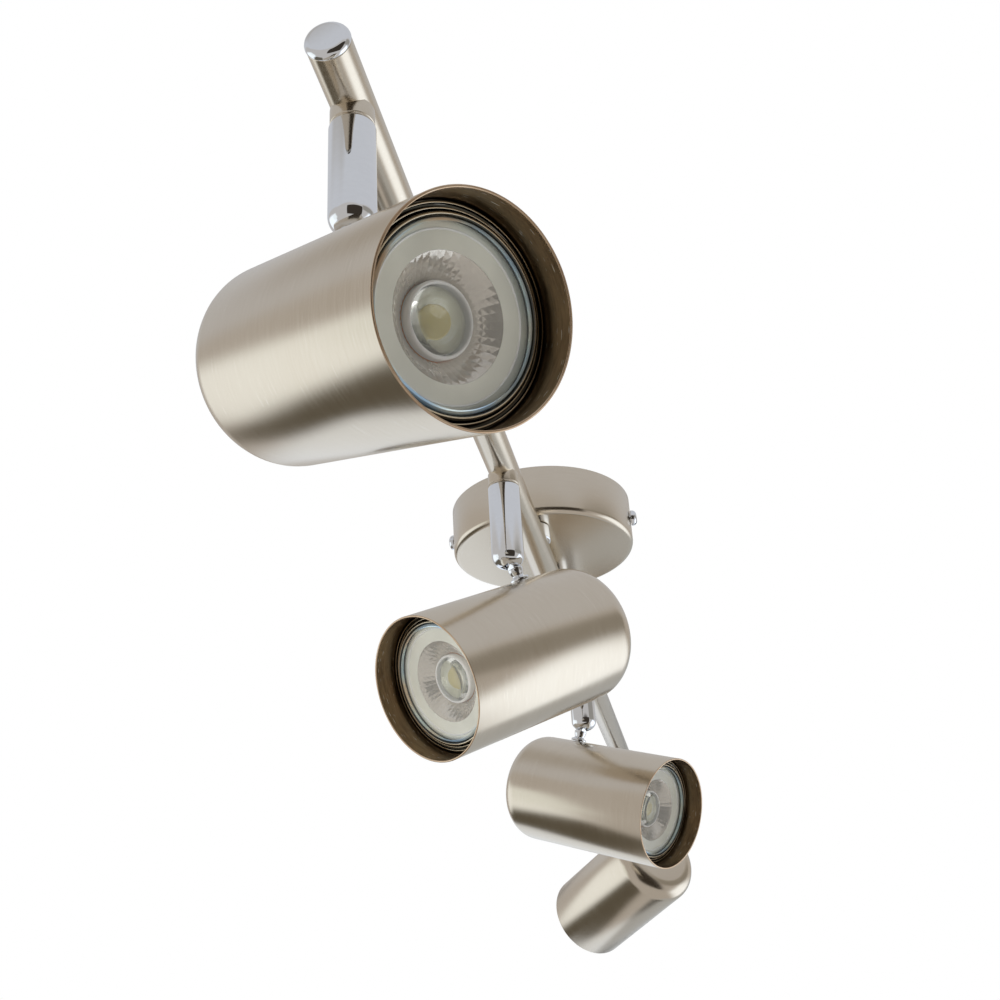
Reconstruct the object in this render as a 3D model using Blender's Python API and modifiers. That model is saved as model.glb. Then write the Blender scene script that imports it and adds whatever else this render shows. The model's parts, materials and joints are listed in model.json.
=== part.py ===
"""Ceiling track light: a straight bar under a round ceiling rose, with four spot lamps.

Each lamp hangs on a stem that swivels about a vertical axis, and tilts on a forked knuckle at the
stem's lower end. The origin is in the ceiling plane, over the middle of the bar. The bar runs along
X and everything hangs below Z = 0. Lengths are in metres; MM turns millimetres into metres.
"""

import math

import bmesh
import bpy
from mathutils import Matrix

MM = 0.001
GAP = 0.3 * MM

# Driving dimensions
BAR_LENGTH = 726 * MM
BAR_RADIUS = 6.75 * MM
BAR_WALL = 1.2 * MM
BAR_Z = -36 * MM
LAMP_SPACING = 225 * MM

ROSE_RADIUS = 46.5 * MM
ROSE_HEIGHT = 26 * MM
ROSE_WALL = 1.2 * MM
ROSE_EDGE = 3 * MM
STUD_OFFSET = 30 * MM
STUD_RADIUS = 4 * MM
STUD_BORE = 2.5 * MM
SPACER_RADIUS = 8 * MM
SCREW_DROP = 12.5 * MM

COLLAR_RADIUS = 6.65 * MM
COLLAR_TOP = 4.5 * MM
COLLAR_BOTTOM = 11 * MM
STEM_RADIUS = 7 * MM
KNUCKLE_DROP = 42.5 * MM
FORK_SLOT = 5 * MM
NECK_ROOM = 2.6 * MM
PIN_RADIUS = 1.2 * MM
PIN_LENGTH = 11 * MM
SPIGOT_RADIUS = 3 * MM
TONGUE_RADIUS = 4.4 * MM
NECK_LENGTH = 13.5 * MM

SHELL_RADIUS = 29 * MM
SHELL_WALL = 0.8 * MM
SHELL_LENGTH = 98 * MM
SHELL_FRONT = 71.5 * MM
SHELL_EDGE = 11 * MM
LAMP_RECESS = 8.5 * MM
LAMP_RADIUS = 25 * MM
LAMP_LENGTH = 46 * MM
LENS_THICKNESS = 2.5 * MM
CONTACT_SPACING = 10 * MM

# Where each lamp points at rest: turn about the stem from +X, then tilt down from level
LAMP_TURNS = (-129.5, 139.0, -117.0, 40.0)
LAMP_TILTS = (20.5, 26.5, 21.5, 12.5)

# Measurements that follow from the driving ones
SHELL_DROP = NECK_LENGTH + SHELL_RADIUS
SHELL_INNER = SHELL_RADIUS - SHELL_WALL
LAMP_FACE = SHELL_FRONT - LAMP_RECESS
LAMP_BASE = LAMP_FACE - LAMP_LENGTH
SHELL_FRAME = Matrix.Translation((0, 0, -SHELL_DROP)) @ Matrix.Rotation(math.pi / 2, 4, "Y")
ALONG_X = Matrix.Rotation(math.pi / 2, 4, "Y")
ALONG_Y = Matrix.Rotation(-math.pi / 2, 4, "X")

ROUND = 36
MEDIUM_ROUND = 20
SMALL_ROUND = 12

MATERIALS = {
    "satin_nickel": ((0.56, 0.52, 0.46), 1.0, 0.34),
    "polished_chrome": ((0.78, 0.80, 0.83), 1.0, 0.08),
    "zinc_steel": ((0.62, 0.63, 0.64), 1.0, 0.42),
    "brass_contact": ((0.75, 0.58, 0.28), 1.0, 0.30),
    "white_plastic": ((0.86, 0.86, 0.84), 0.0, 0.45),
    "dark_ring": ((0.05, 0.045, 0.04), 0.8, 0.40),
    "ceramic": ((0.88, 0.86, 0.80), 0.0, 0.30),
    "lamp_glass": ((0.78, 0.80, 0.76), 0.0, 0.10),
}


def clear_scene():
    for obj in list(bpy.data.objects):
        bpy.data.objects.remove(obj, do_unlink=True)


def new_collection(name):
    collection = bpy.data.collections.new(name)
    bpy.context.scene.collection.children.link(collection)
    return collection


def new_material(name, colour, metallic, roughness):
    material = bpy.data.materials.new(name)
    material.use_nodes = True
    shader = material.node_tree.nodes["Principled BSDF"]
    shader.inputs["Base Color"].default_value = (*colour, 1.0)
    shader.inputs["Metallic"].default_value = metallic
    shader.inputs["Roughness"].default_value = roughness
    return material


# ---- modelling helpers: each works on a blank in the workshop collection ----


def blank(name, mesh):
    """A working object in the workshop collection; it never reaches the finished part."""
    obj = bpy.data.objects.new(name, mesh)
    obj.hide_render = True
    obj.display_type = "WIRE"
    WORKSHOP.objects.link(obj)
    return obj


def turned(profile, steps=ROUND, closed=False):
    """Turn (radius, height) points about Z; the profile runs down the outer side."""
    mesh = bpy.data.meshes.new("turned")
    edges = [(i, i + 1) for i in range(len(profile) - 1)]
    if closed:
        edges.append((len(profile) - 1, 0))
    mesh.from_pydata([(radius, 0.0, height) for radius, height in profile], edges, [])
    obj = blank("turned", mesh)
    screw = obj.modifiers.new("Turn", "SCREW")
    screw.steps = steps
    screw.render_steps = steps
    screw.use_merge_vertices = True
    screw.merge_threshold = 0.01 * MM
    return bake(obj)


def ring(inner, outer, bottom, top, steps=ROUND):
    """A plain turned ring with a square section."""
    return turned([(outer, top), (outer, bottom), (inner, bottom), (inner, top)], steps, closed=True)


def cylinder(radius, bottom, top, segments=SMALL_ROUND, top_radius=None):
    mesh = bpy.data.meshes.new("cylinder")
    bm = bmesh.new()
    bmesh.ops.create_cone(
        bm, cap_ends=True, segments=segments, depth=top - bottom,
        radius1=radius, radius2=radius if top_radius is None else top_radius,
        matrix=Matrix.Translation((0, 0, (top + bottom) / 2)),
    )
    bm.to_mesh(mesh)
    bm.free()
    return blank("cylinder", mesh)


def box(width, depth, height, centre=(0, 0, 0)):
    mesh = bpy.data.meshes.new("box")
    bm = bmesh.new()
    size = Matrix.Diagonal((width, depth, height, 1))
    bmesh.ops.create_cube(bm, size=1, matrix=Matrix.Translation(centre) @ size)
    bm.to_mesh(mesh)
    bm.free()
    return blank("box", mesh)


def moved(obj, matrix):
    obj.data.transform(matrix)
    return obj


def bake(obj):
    """Replace the blank's mesh by the one its modifiers make."""
    depsgraph = bpy.context.evaluated_depsgraph_get()
    mesh = bpy.data.meshes.new_from_object(obj.evaluated_get(depsgraph))
    obj.modifiers.clear()
    obj.data = mesh
    return obj


def combine(operation, obj, tools):
    for tool in tools:
        modifier = obj.modifiers.new(operation, "BOOLEAN")
        modifier.operation = operation
        modifier.solver = "EXACT"
        modifier.object = tool
    bake(obj)
    for tool in tools:
        bpy.data.objects.remove(tool, do_unlink=True)
    return obj


def cut(obj, *tools):
    return combine("DIFFERENCE", obj, tools)


def join(obj, *tools):
    return combine("UNION", obj, tools)


def bevelled(obj, width, segments=2):
    modifier = obj.modifiers.new("Edges", "BEVEL")
    modifier.width = width
    modifier.segments = segments
    modifier.limit_method = "ANGLE"
    modifier.angle_limit = math.radians(40)
    return bake(obj)


def arc(centre_radius, centre_height, radius, start, end, count):
    """Points of a quarter-turn or other arc in a turned profile, in degrees from +radius."""
    points = []
    for step in range(count + 1):
        angle = math.radians(start + (end - start) * step / count)
        points.append((centre_radius + radius * math.cos(angle),
                       centre_height + radius * math.sin(angle)))
    return points


def finish(obj):
    """Take the finished mesh off its blank, shaded smooth with its true edges kept."""
    mesh = obj.data
    bpy.data.objects.remove(obj, do_unlink=True)
    mesh.shade_smooth()
    mesh.set_sharp_from_angle(angle=math.radians(35))
    return mesh


def place(name, mesh, material, parent=None, location=(0, 0, 0), turn=0.0):
    """Put a piece in the finished part: one named object, with its own material slot."""
    mesh.name = name
    if not mesh.materials:
        mesh.materials.append(FINISHES[material])
    obj = bpy.data.objects.new(name, mesh)
    obj.location = location
    obj.rotation_euler = (0, 0, turn)
    obj.parent = parent
    PART.objects.link(obj)
    return obj


def pivot(name, parent, location, rotation):
    """An empty on a joint's axis, which the moving pieces hang from."""
    empty = bpy.data.objects.new(name, None)
    empty.empty_display_size = 10 * MM
    empty.location = location
    empty.rotation_euler = rotation
    empty.parent = parent
    PART.objects.link(empty)
    return empty


# ---- fixed pieces ----


def bar_mesh():
    """Steel tube with two stud holes on top and a spigot hole under each stem."""
    half = BAR_LENGTH / 2 - 2.5 * MM
    tube = moved(ring(BAR_RADIUS - BAR_WALL, BAR_RADIUS, -half, half, 24), ALONG_X)
    tools = []
    for x in (-STUD_OFFSET, STUD_OFFSET):
        hole = cylinder(STUD_RADIUS + GAP, 0, 10 * MM)
        tools.append(moved(hole, Matrix.Translation((x, 0, 0))))
    for x in stem_places():
        hole = cylinder(SPIGOT_RADIUS + GAP, -10 * MM, 0)
        tools.append(moved(hole, Matrix.Translation((x, 0, 0))))
    return finish(cut(tube, *tools))


def end_cap_mesh():
    """Slightly domed cap with a plug that fits the tube; it points along +X from the tube's end."""
    rim = BAR_RADIUS + 0.15 * MM
    plug = BAR_RADIUS - BAR_WALL - GAP
    profile = [(0, 2.5 * MM), (rim * 0.5, 2.3 * MM), (rim - 0.7 * MM, 1.9 * MM),
               (rim, 1.2 * MM), (rim, GAP), (plug, GAP), (plug, -8 * MM), (0, -8 * MM)]
    return finish(moved(turned(profile, 24), ALONG_X))


def rose_mesh():
    """Cup with a flat lower face, open towards the ceiling."""
    bottom = -ROSE_HEIGHT
    inner = ROSE_RADIUS - ROSE_WALL
    outer_edge = arc(ROSE_RADIUS - ROSE_EDGE, bottom + ROSE_EDGE, ROSE_EDGE, 0, -90, 3)
    inner_edge = arc(ROSE_RADIUS - ROSE_EDGE, bottom + ROSE_EDGE, ROSE_EDGE - ROSE_WALL, -90, 0, 3)
    profile = [(0, bottom + ROSE_WALL), *inner_edge, (inner, 0), (ROSE_RADIUS, 0), *outer_edge,
               (0, bottom)]
    cup = turned(profile, 48)
    tools = []
    for x in (-STUD_OFFSET, STUD_OFFSET):
        hole = cylinder(STUD_RADIUS + GAP, bottom - 5 * MM, bottom + 5 * MM)
        tools.append(moved(hole, Matrix.Translation((x, 0, 0))))
    side = Matrix.Translation((0, 0, -SCREW_DROP)) @ ALONG_Y
    reach = ROSE_RADIUS + 5 * MM
    tools.append(moved(cylinder(2.3 * MM, -reach, reach), side))
    return finish(cut(cup, *tools))


def bracket_mesh():
    """Strap for the ceiling, with two screw slots and a flange at each end for the side screws."""
    width = 20 * MM
    thick = 1.5 * MM
    reach = ROSE_RADIUS - ROSE_WALL - 1.8 * MM
    flange = 18 * MM
    plate = box(width, 2 * reach, thick, (0, 0, -thick / 2))
    drop = box(width + 2 * MM, 2 * (reach - thick), flange, (0, 0, -flange / 2 - thick))
    outer = box(width, 2 * reach, flange, (0, 0, -flange / 2))
    strap = cut(join(plate, outer), drop)
    tools = []
    for side in (-1, 1):
        tools.append(slot_tool(5 * MM, 14 * MM, side * 24 * MM))
    tools.append(moved(cylinder(1.9 * MM, -reach - 5 * MM, reach + 5 * MM),
                       Matrix.Translation((0, 0, -SCREW_DROP)) @ ALONG_Y))
    tools.append(moved(cylinder(2 * MM, -5 * MM, 5 * MM), Matrix.Translation((0, 36 * MM, 0))))
    return finish(cut(strap, *tools))


def slot_tool(width, length, y):
    """Cutter for a slot with round ends, along Y."""
    straight = length - width
    middle = box(width, straight, 10 * MM, (0, y, 0))
    ends = []
    for side in (-0.5, 0.5):
        end = cylinder(width / 2, -5 * MM, 5 * MM)
        ends.append(moved(end, Matrix.Translation((0, y + side * straight, 0))))
    return join(middle, *ends)


def side_screw_mesh():
    """Dome-headed screw along +Z; its head starts at height 0 and its shank runs below."""
    head = arc(0, 0, 4 * MM, 90, 0, 4)
    head = [(radius, height * 0.75) for radius, height in head]
    profile = [*head, (1.6 * MM, 0), (1.6 * MM, -7 * MM), (0, -7 * MM)]
    body = turned(profile, SMALL_ROUND)
    return finish(cut(body, box(1 * MM, 10 * MM, 1.6 * MM, (0, 0, 3 * MM))))


def earth_screw_mesh():
    """Pan-head screw under the strap, with a serrated washer under its head."""
    profile = [(0, -0.1 * MM), (1.7 * MM, -0.1 * MM), (1.7 * MM, -1.8 * MM), (4.2 * MM, -1.8 * MM),
               (4.2 * MM, -2.6 * MM), (3.4 * MM, -2.6 * MM), (3.4 * MM, -4.4 * MM),
               (2.6 * MM, -5 * MM), (0, -5 * MM)]
    body = turned(profile, SMALL_ROUND)
    return finish(cut(body, box(10 * MM, 0.9 * MM, 1.6 * MM, (0, 0, -5 * MM))))


def terminal_block_mesh():
    """Three-way terminal block under the strap, with screw wells and wire ways."""
    top = -1.8 * MM
    height = 11 * MM
    body = bevelled(box(17 * MM, 30 * MM, height, (0, 0, top - height / 2)), 0.8 * MM)
    tools = []
    for way in (-1, 0, 1):
        y = way * 9 * MM
        well = cylinder(2 * MM, top - height - MM, top - height + 3 * MM)
        tools.append(moved(well, Matrix.Translation((0, y, 0))))
        wire_way = moved(cylinder(1.7 * MM, -12 * MM, 12 * MM),
                         Matrix.Translation((0, y, top - 4.5 * MM)) @ ALONG_X)
        tools.append(wire_way)
    return finish(cut(body, *tools))


def spacer_mesh():
    """Round spacer between the rose and the bar, with a saddle that fits over the bar."""
    top = -ROSE_HEIGHT - GAP
    bottom = BAR_Z + 2 * MM
    body = ring(STUD_RADIUS + GAP, SPACER_RADIUS, bottom, top, MEDIUM_ROUND)
    saddle = moved(cylinder(BAR_RADIUS + GAP, -20 * MM, 20 * MM, 24),
                   Matrix.Translation((0, 0, BAR_Z)) @ ALONG_X)
    return finish(cut(body, saddle))


def stud_mesh():
    """Hollow stud that carries the wires from the rose into the bar."""
    top = -ROSE_HEIGHT + 7 * MM
    bottom = BAR_Z + BAR_RADIUS - BAR_WALL - 2.5 * MM
    return finish(ring(STUD_BORE, STUD_RADIUS, bottom, top, SMALL_ROUND))


def nut_mesh(across_flats, bore, bottom, top):
    """Plain hexagon nut."""
    body = cylinder(across_flats / math.sqrt(3), bottom, top, 6)
    return finish(cut(body, cylinder(bore, bottom - MM, top + MM)))


def collar_mesh():
    """Satin ring under the bar that the stem turns against; its top is a shallow saddle."""
    body = ring(SPIGOT_RADIUS + GAP, COLLAR_RADIUS, -COLLAR_BOTTOM, -COLLAR_TOP, MEDIUM_ROUND)
    saddle = moved(cylinder(BAR_RADIUS + GAP, -20 * MM, 20 * MM, 24), ALONG_X)
    return finish(cut(body, saddle))


# ---- pieces that swivel: the origin is on the swivel axis, at the height of the bar's axis ----


def stem_mesh():
    """Polished stem; its domed lower end is slotted from the middle to the side the neck tilts to."""
    top = -COLLAR_BOTTOM - GAP
    knuckle = -KNUCKLE_DROP
    rounding = 0.8 * MM
    upper_edge = arc(STEM_RADIUS - rounding, top - rounding, rounding, 90, 0, 2)
    dome = arc(0, knuckle, STEM_RADIUS, 0, -90, 4)
    body = turned([(0, top), *upper_edge, *dome], 24)
    socket = cylinder(SPIGOT_RADIUS + GAP, top - 10 * MM, top + MM)
    wire_way = cylinder(1.5 * MM, knuckle, top, SMALL_ROUND)
    half_slot = FORK_SLOT / 2
    half_room = half_slot - 0.05 * MM
    tongue_room = moved(cylinder(TONGUE_RADIUS + GAP, -half_room, half_room, MEDIUM_ROUND),
                        Matrix.Translation((0, 0, knuckle)) @ ALONG_Y)
    slot_side = STEM_RADIUS * 2
    slot = box(slot_side, FORK_SLOT, slot_side,
               (NECK_ROOM - slot_side / 2, 0, knuckle + NECK_ROOM - slot_side / 2))
    half_pin = PIN_LENGTH / 2 + GAP
    pin_hole = moved(cylinder(PIN_RADIUS + GAP, -half_pin, half_pin, SMALL_ROUND),
                     Matrix.Translation((0, 0, knuckle)) @ ALONG_Y)
    return finish(cut(body, socket, wire_way, tongue_room, slot, pin_hole))


def spigot_mesh():
    """Hollow spigot, fixed in the stem, that turns in the collar and the bar."""
    bottom = -COLLAR_BOTTOM - 9.7 * MM
    return finish(ring(1.5 * MM, SPIGOT_RADIUS, bottom, -2 * MM, SMALL_ROUND))


def hinge_pin_mesh():
    pin = cylinder(PIN_RADIUS, -PIN_LENGTH / 2, PIN_LENGTH / 2)
    return finish(moved(pin, Matrix.Translation((0, 0, -KNUCKLE_DROP)) @ ALONG_Y))


# ---- pieces that tilt: the origin is on the tilt axis, the neck runs down and +X is the beam ----


def knuckle_mesh():
    """Tongue in the fork, flared neck, foot against the shell and a threaded end through it."""
    half = FORK_SLOT / 2 - GAP
    tongue = moved(cylinder(TONGUE_RADIUS, -half, half, 16), ALONG_Y)
    web = box(2 * half, 2 * half, 8.5 * MM, (0, 0, -4.25 * MM))
    foot = -NECK_LENGTH + GAP
    neck = turned([(0, -7.5 * MM), (3.4 * MM, -7.5 * MM), (3.0 * MM, -9.4 * MM),
                   (2.4 * MM, -11.4 * MM), (4.2 * MM, -12.1 * MM), (4.2 * MM, foot),
                   (1.8 * MM, foot), (1.8 * MM, foot - 4.8 * MM), (0, foot - 4.8 * MM)], 16)
    body = join(tongue, web, neck)
    pin_hole = moved(cylinder(PIN_RADIUS + GAP, -5 * MM, 5 * MM), ALONG_Y)
    return finish(cut(body, pin_hole))


def shell_mesh():
    """Thin shell, open at the front and closed by a rounded end at the rear."""
    rear = SHELL_FRONT - SHELL_LENGTH
    edge_radius = SHELL_RADIUS - SHELL_EDGE
    inner_edge = arc(edge_radius, rear + SHELL_EDGE, SHELL_EDGE - SHELL_WALL, -90, 0, 3)
    outer_edge = arc(edge_radius, rear + SHELL_EDGE, SHELL_EDGE, 0, -90, 3)
    profile = [(0, rear + SHELL_WALL), *inner_edge, (SHELL_INNER, SHELL_FRONT),
               (SHELL_RADIUS, SHELL_FRONT), *outer_edge, (0, rear)]
    body = moved(turned(profile, ROUND), SHELL_FRAME)
    return finish(cut(body, cylinder(2.1 * MM, -SHELL_DROP + 20 * MM, 0)))


def shell_nut_mesh():
    """Nut inside the shell, on the knuckle's threaded end."""
    top = -NECK_LENGTH - SHELL_WALL - 0.6 * MM
    return nut_mesh(7 * MM, 2.1 * MM, top - 2.4 * MM, top)


def retaining_ring_mesh():
    """Dark ring that holds the lamp's rim inside the shell."""
    outer = SHELL_INNER - GAP
    rear = LAMP_FACE - 6 * MM
    lip = LAMP_RADIUS + GAP
    profile = [(outer, LAMP_FACE - 1 * MM), (outer, rear), (lip, rear), (lip, LAMP_FACE - 1 * MM)]
    return finish(moved(turned(profile, ROUND, closed=True), SHELL_FRAME))


def lamp_body_mesh():
    """Reflector lamp: rim, tapered body, base and two contact pins; its face holds the lens."""
    seat = LAMP_FACE - LENS_THICKNESS - GAP
    lens_edge = LAMP_RADIUS - 1 * MM
    profile = [(0, seat), (lens_edge, seat), (lens_edge, LAMP_FACE), (LAMP_RADIUS, LAMP_FACE),
               (LAMP_RADIUS, LAMP_FACE - 6 * MM), (23 * MM, LAMP_FACE - 11 * MM),
               (17 * MM, LAMP_FACE - 26 * MM), (11.5 * MM, LAMP_FACE - 34 * MM),
               (9 * MM, LAMP_FACE - 38 * MM), (9 * MM, LAMP_BASE), (0, LAMP_BASE)]
    body = moved(turned(profile, 24), SHELL_FRAME)
    return finish(join(body, *contact_tools(2.3 * MM, LAMP_BASE - 5.5 * MM)))


def contact_tools(radius, end):
    """Two round contacts at the lamp's base, as blanks."""
    tools = []
    for side in (-0.5, 0.5):
        pin = moved(cylinder(radius, end, LAMP_BASE + 2 * MM), SHELL_FRAME)
        tools.append(moved(pin, Matrix.Translation((0, side * CONTACT_SPACING, 0))))
    return tools


def lamp_lens_mesh():
    radius = LAMP_RADIUS - 1 * MM - GAP
    return finish(moved(cylinder(radius, LAMP_FACE - LENS_THICKNESS, LAMP_FACE, ROUND), SHELL_FRAME))


def lampholder_mesh():
    """Ceramic holder behind the lamp, with a hole for each contact pin."""
    top = LAMP_BASE - GAP
    profile = [(0, top), (11 * MM, top), (12 * MM, top - 1 * MM), (12 * MM, top - 9 * MM),
               (8 * MM, top - 15 * MM), (0, top - 15 * MM)]
    body = moved(turned(profile, MEDIUM_ROUND), SHELL_FRAME)
    return finish(cut(body, *contact_tools(2.3 * MM + GAP, LAMP_BASE - 6.2 * MM)))


# ---- assembly ----


def stem_places():
    """X of each stem, from lamp 1 to lamp 4."""
    return [(index - 1.5) * LAMP_SPACING for index in range(4)]


def build_rose():
    place("ceiling_bracket", bracket_mesh(), "zinc_steel")
    place("rose_cup", rose_mesh(), "satin_nickel")
    place("terminal_block", terminal_block_mesh(), "white_plastic")
    place("earth_screw", earth_screw_mesh(), "brass_contact", location=(0, 36 * MM, 0))
    screw = side_screw_mesh()
    seat = ROSE_RADIUS + GAP
    for name, side in (("left", 1), ("right", -1)):
        obj = place(f"rose_screw_{name}", screw, "polished_chrome",
                    location=(0, side * seat, -SCREW_DROP))
        obj.rotation_euler = (-side * math.pi / 2, 0, 0)
    spacer = spacer_mesh()
    stud = stud_mesh()
    nut = nut_mesh(13 * MM, STUD_RADIUS + GAP, -ROSE_HEIGHT + ROSE_WALL + GAP,
                   -ROSE_HEIGHT + ROSE_WALL + GAP + 4 * MM)
    for name, x in (("near", -STUD_OFFSET), ("far", STUD_OFFSET)):
        place(f"spacer_{name}", spacer, "polished_chrome", location=(x, 0, 0))
        place(f"stud_{name}", stud, "zinc_steel", location=(x, 0, 0))
        place(f"stud_nut_{name}", nut, "zinc_steel", location=(x, 0, 0))


def build_bar():
    place("bar", bar_mesh(), "satin_nickel", location=(0, 0, BAR_Z))
    cap = end_cap_mesh()
    end = BAR_LENGTH / 2 - 2.5 * MM
    place("end_cap_near", cap, "polished_chrome", location=(-end, 0, BAR_Z), turn=math.pi)
    place("end_cap_far", cap, "polished_chrome", location=(end, 0, BAR_Z))


def build_lamps():
    collar = collar_mesh()
    swivelling = [("stem", stem_mesh(), "polished_chrome"),
                  ("spigot", spigot_mesh(), "zinc_steel"),
                  ("hinge_pin", hinge_pin_mesh(), "zinc_steel")]
    tilting = [("knuckle", knuckle_mesh(), "polished_chrome"),
               ("shell", shell_mesh(), "satin_nickel"),
               ("shell_nut", shell_nut_mesh(), "zinc_steel"),
               ("retaining_ring", retaining_ring_mesh(), "dark_ring"),
               ("lamp_body", lamp_body_mesh(), "white_plastic"),
               ("lamp_lens", lamp_lens_mesh(), "lamp_glass"),
               ("lampholder", lampholder_mesh(), "ceramic")]
    for index, x in enumerate(stem_places()):
        number = index + 1
        turn = math.radians(LAMP_TURNS[index])
        tilt = math.radians(LAMP_TILTS[index])
        place(f"collar_{number}", collar, "satin_nickel", location=(x, 0, BAR_Z))
        swivel = pivot(f"swivel_axis_{number}", None, (x, 0, BAR_Z), (0, 0, turn))
        for name, mesh, material in swivelling:
            place(f"{name}_{number}", mesh, material, parent=swivel)
        hinge = pivot(f"tilt_axis_{number}", swivel, (0, 0, -KNUCKLE_DROP), (0, tilt, 0))
        for name, mesh, material in tilting:
            place(f"{name}_{number}", mesh, material, parent=hinge)


clear_scene()
PART = new_collection("track_light")
WORKSHOP = new_collection("workshop")
FINISHES = {name: new_material(name, *values) for name, values in MATERIALS.items()}
build_rose()
build_bar()
build_lamps()
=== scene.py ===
# %% [markdown]
# # A ceiling track light with four spot lamps
# The light is a straight bar under a round ceiling rose. Four short stems hang from the bar. Each
# stem turns about its own axis and carries a tube-shaped shell with a reflector lamp in its mouth.
# Nearly every piece was made on a lathe or drawn round a mandrel. So most cells below draw half a
# section and spin it, and the other tools only cut slots and join small parts.

# %% Load the frame
import json
import math

import bmesh
import bpy
from mathutils import Matrix, Vector


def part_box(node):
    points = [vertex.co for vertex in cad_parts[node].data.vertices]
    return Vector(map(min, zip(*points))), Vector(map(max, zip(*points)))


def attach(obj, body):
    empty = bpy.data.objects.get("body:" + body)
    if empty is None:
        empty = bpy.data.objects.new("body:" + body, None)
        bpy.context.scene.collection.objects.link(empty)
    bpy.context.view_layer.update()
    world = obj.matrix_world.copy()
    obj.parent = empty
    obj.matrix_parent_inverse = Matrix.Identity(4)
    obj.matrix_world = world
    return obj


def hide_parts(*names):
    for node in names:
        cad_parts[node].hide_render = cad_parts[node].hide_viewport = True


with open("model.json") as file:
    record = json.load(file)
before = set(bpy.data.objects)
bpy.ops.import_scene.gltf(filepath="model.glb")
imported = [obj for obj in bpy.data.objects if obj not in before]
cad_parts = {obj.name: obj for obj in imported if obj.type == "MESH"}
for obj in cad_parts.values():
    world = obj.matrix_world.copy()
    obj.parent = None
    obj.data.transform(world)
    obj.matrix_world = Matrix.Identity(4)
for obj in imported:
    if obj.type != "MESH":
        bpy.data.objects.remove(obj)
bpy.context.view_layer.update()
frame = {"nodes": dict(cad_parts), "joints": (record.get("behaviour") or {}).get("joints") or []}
scene = bpy.context.scene
JOINTS = {joint["name"]: joint for joint in frame["joints"]}
LAMPS = (1, 2, 3, 4)
FIXED = "mount_and_bar"
MM = 0.001

# %% [markdown]
# ## Where things are
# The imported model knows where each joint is, so those places are read from it. A stem's frame sits on
# the bar's axis and turns with the swivel joint. A lamp's frame sits on the tilt axis: its X runs
# along the beam and its Z points back up the neck. The lathe spins about Z, so two more matrices
# lay a turned piece along the bar or along the beam.

# %% Frames for the stems and the lamps
UP = Vector((0, 0, 1))
SHELL_RADIUS = 29.0
NECK_LENGTH = 13.5
SHELL_DROP = (NECK_LENGTH + SHELL_RADIUS) * MM
ALONG_X = Matrix.Rotation(math.pi / 2, 4, "Y")
ALONG_Y = Matrix.Rotation(-math.pi / 2, 4, "X")
ALONG_BEAM = Matrix.Translation((0, 0, -SHELL_DROP)) @ ALONG_X


def axes(origin, x_axis, y_axis, z_axis):
    """A matrix whose columns are the three axes and the origin."""
    turned_frame = Matrix((x_axis, y_axis, z_axis)).transposed().to_4x4()
    turned_frame.translation = Vector(origin)
    return turned_frame


def level_direction(number):
    """The beam's direction seen from above, square to the tilt axis."""
    tilt_axis = JOINTS[f"lamp_tilt_{number}"]["axis"]
    return Vector((tilt_axis[1], -tilt_axis[0], 0)).normalized()


def stem_frame(number):
    """Origin on the bar's axis, Z up, X to the side where the lamp points."""
    level = level_direction(number)
    return axes(JOINTS[f"swivel_turn_{number}"]["pos_m"], level, UP.cross(level), UP)


def lamp_frame(number):
    """Origin on the tilt axis, X along the beam, Z back up the neck."""
    joint = JOINTS[f"lamp_tilt_{number}"]
    level = level_direction(number)
    tilt = math.radians(-joint["range_deg"][0])
    beam = math.cos(tilt) * level - math.sin(tilt) * UP
    neck = -math.sin(tilt) * level - math.cos(tilt) * UP
    return axes(joint["pos_m"], beam, UP.cross(level), -neck)


BAR_Z = JOINTS["swivel_turn_1"]["pos_m"][2]
STEM_FRAMES = {number: stem_frame(number) for number in LAMPS}
LAMP_FRAMES = {number: lamp_frame(number) for number in LAMPS}
for number in LAMPS:
    beam = LAMP_FRAMES[number].col[0].xyz
    print("lamp", number, "points along", [round(value, 3) for value in beam])

# %% [markdown]
# ## Camera
# A product shot from close below: the camera stands just past the bar's near end and looks up
# along it, so the nearest lamp is large and the farthest one small. A lens of 48 mm on a 36 mm
# sensor is close to a normal lens, and the strong perspective comes from how near it stands.

# %% Camera
camera_data = bpy.data.cameras.new("camera")
camera_data.lens = 47.84
camera_data.sensor_width = 36.0
camera_data.clip_start = 0.01
camera = bpy.data.objects.new("camera", camera_data)
camera.location = (-0.61553, -0.08514, -0.32840)
camera.rotation_euler = [math.radians(angle) for angle in (118.43, 3.04, -78.53)]
scene.collection.objects.link(camera)
scene.camera = camera
scene.view_settings.view_transform = "Standard"
print("camera", camera_data.lens, "mm at", [round(value, 3) for value in camera.location])

# %% [markdown]
# ## Nodes in few words
# A node tree is a list of nodes and wires. One helper adds a node, sets its choices, and joins or
# fills its inputs. It keeps each material to a few readable lines.

# %% Node helpers


def node(tree, kind, inputs=(), **choices):
    """Add a node. Inputs are filled with a value or wired to another node's output."""
    made = tree.nodes.new(kind)
    for name, choice in choices.items():
        setattr(made, name, choice)
    for socket, value in dict(inputs).items():
        if isinstance(value, bpy.types.NodeSocket):
            tree.links.new(value, made.inputs[socket])
        else:
            made.inputs[socket].default_value = value
    return made


def maths(tree, operation, *values):
    """A Math node's result."""
    return node(tree, "ShaderNodeMath", enumerate(values), operation=operation).outputs[0]


def blend_colours(tree, factor, first, second):
    """First colour where the factor is 0, second where it is 1."""
    mixed = node(tree, "ShaderNodeMix", {0: factor, 6: first, 7: second}, data_type="RGBA")
    return mixed.outputs[2]


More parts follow.
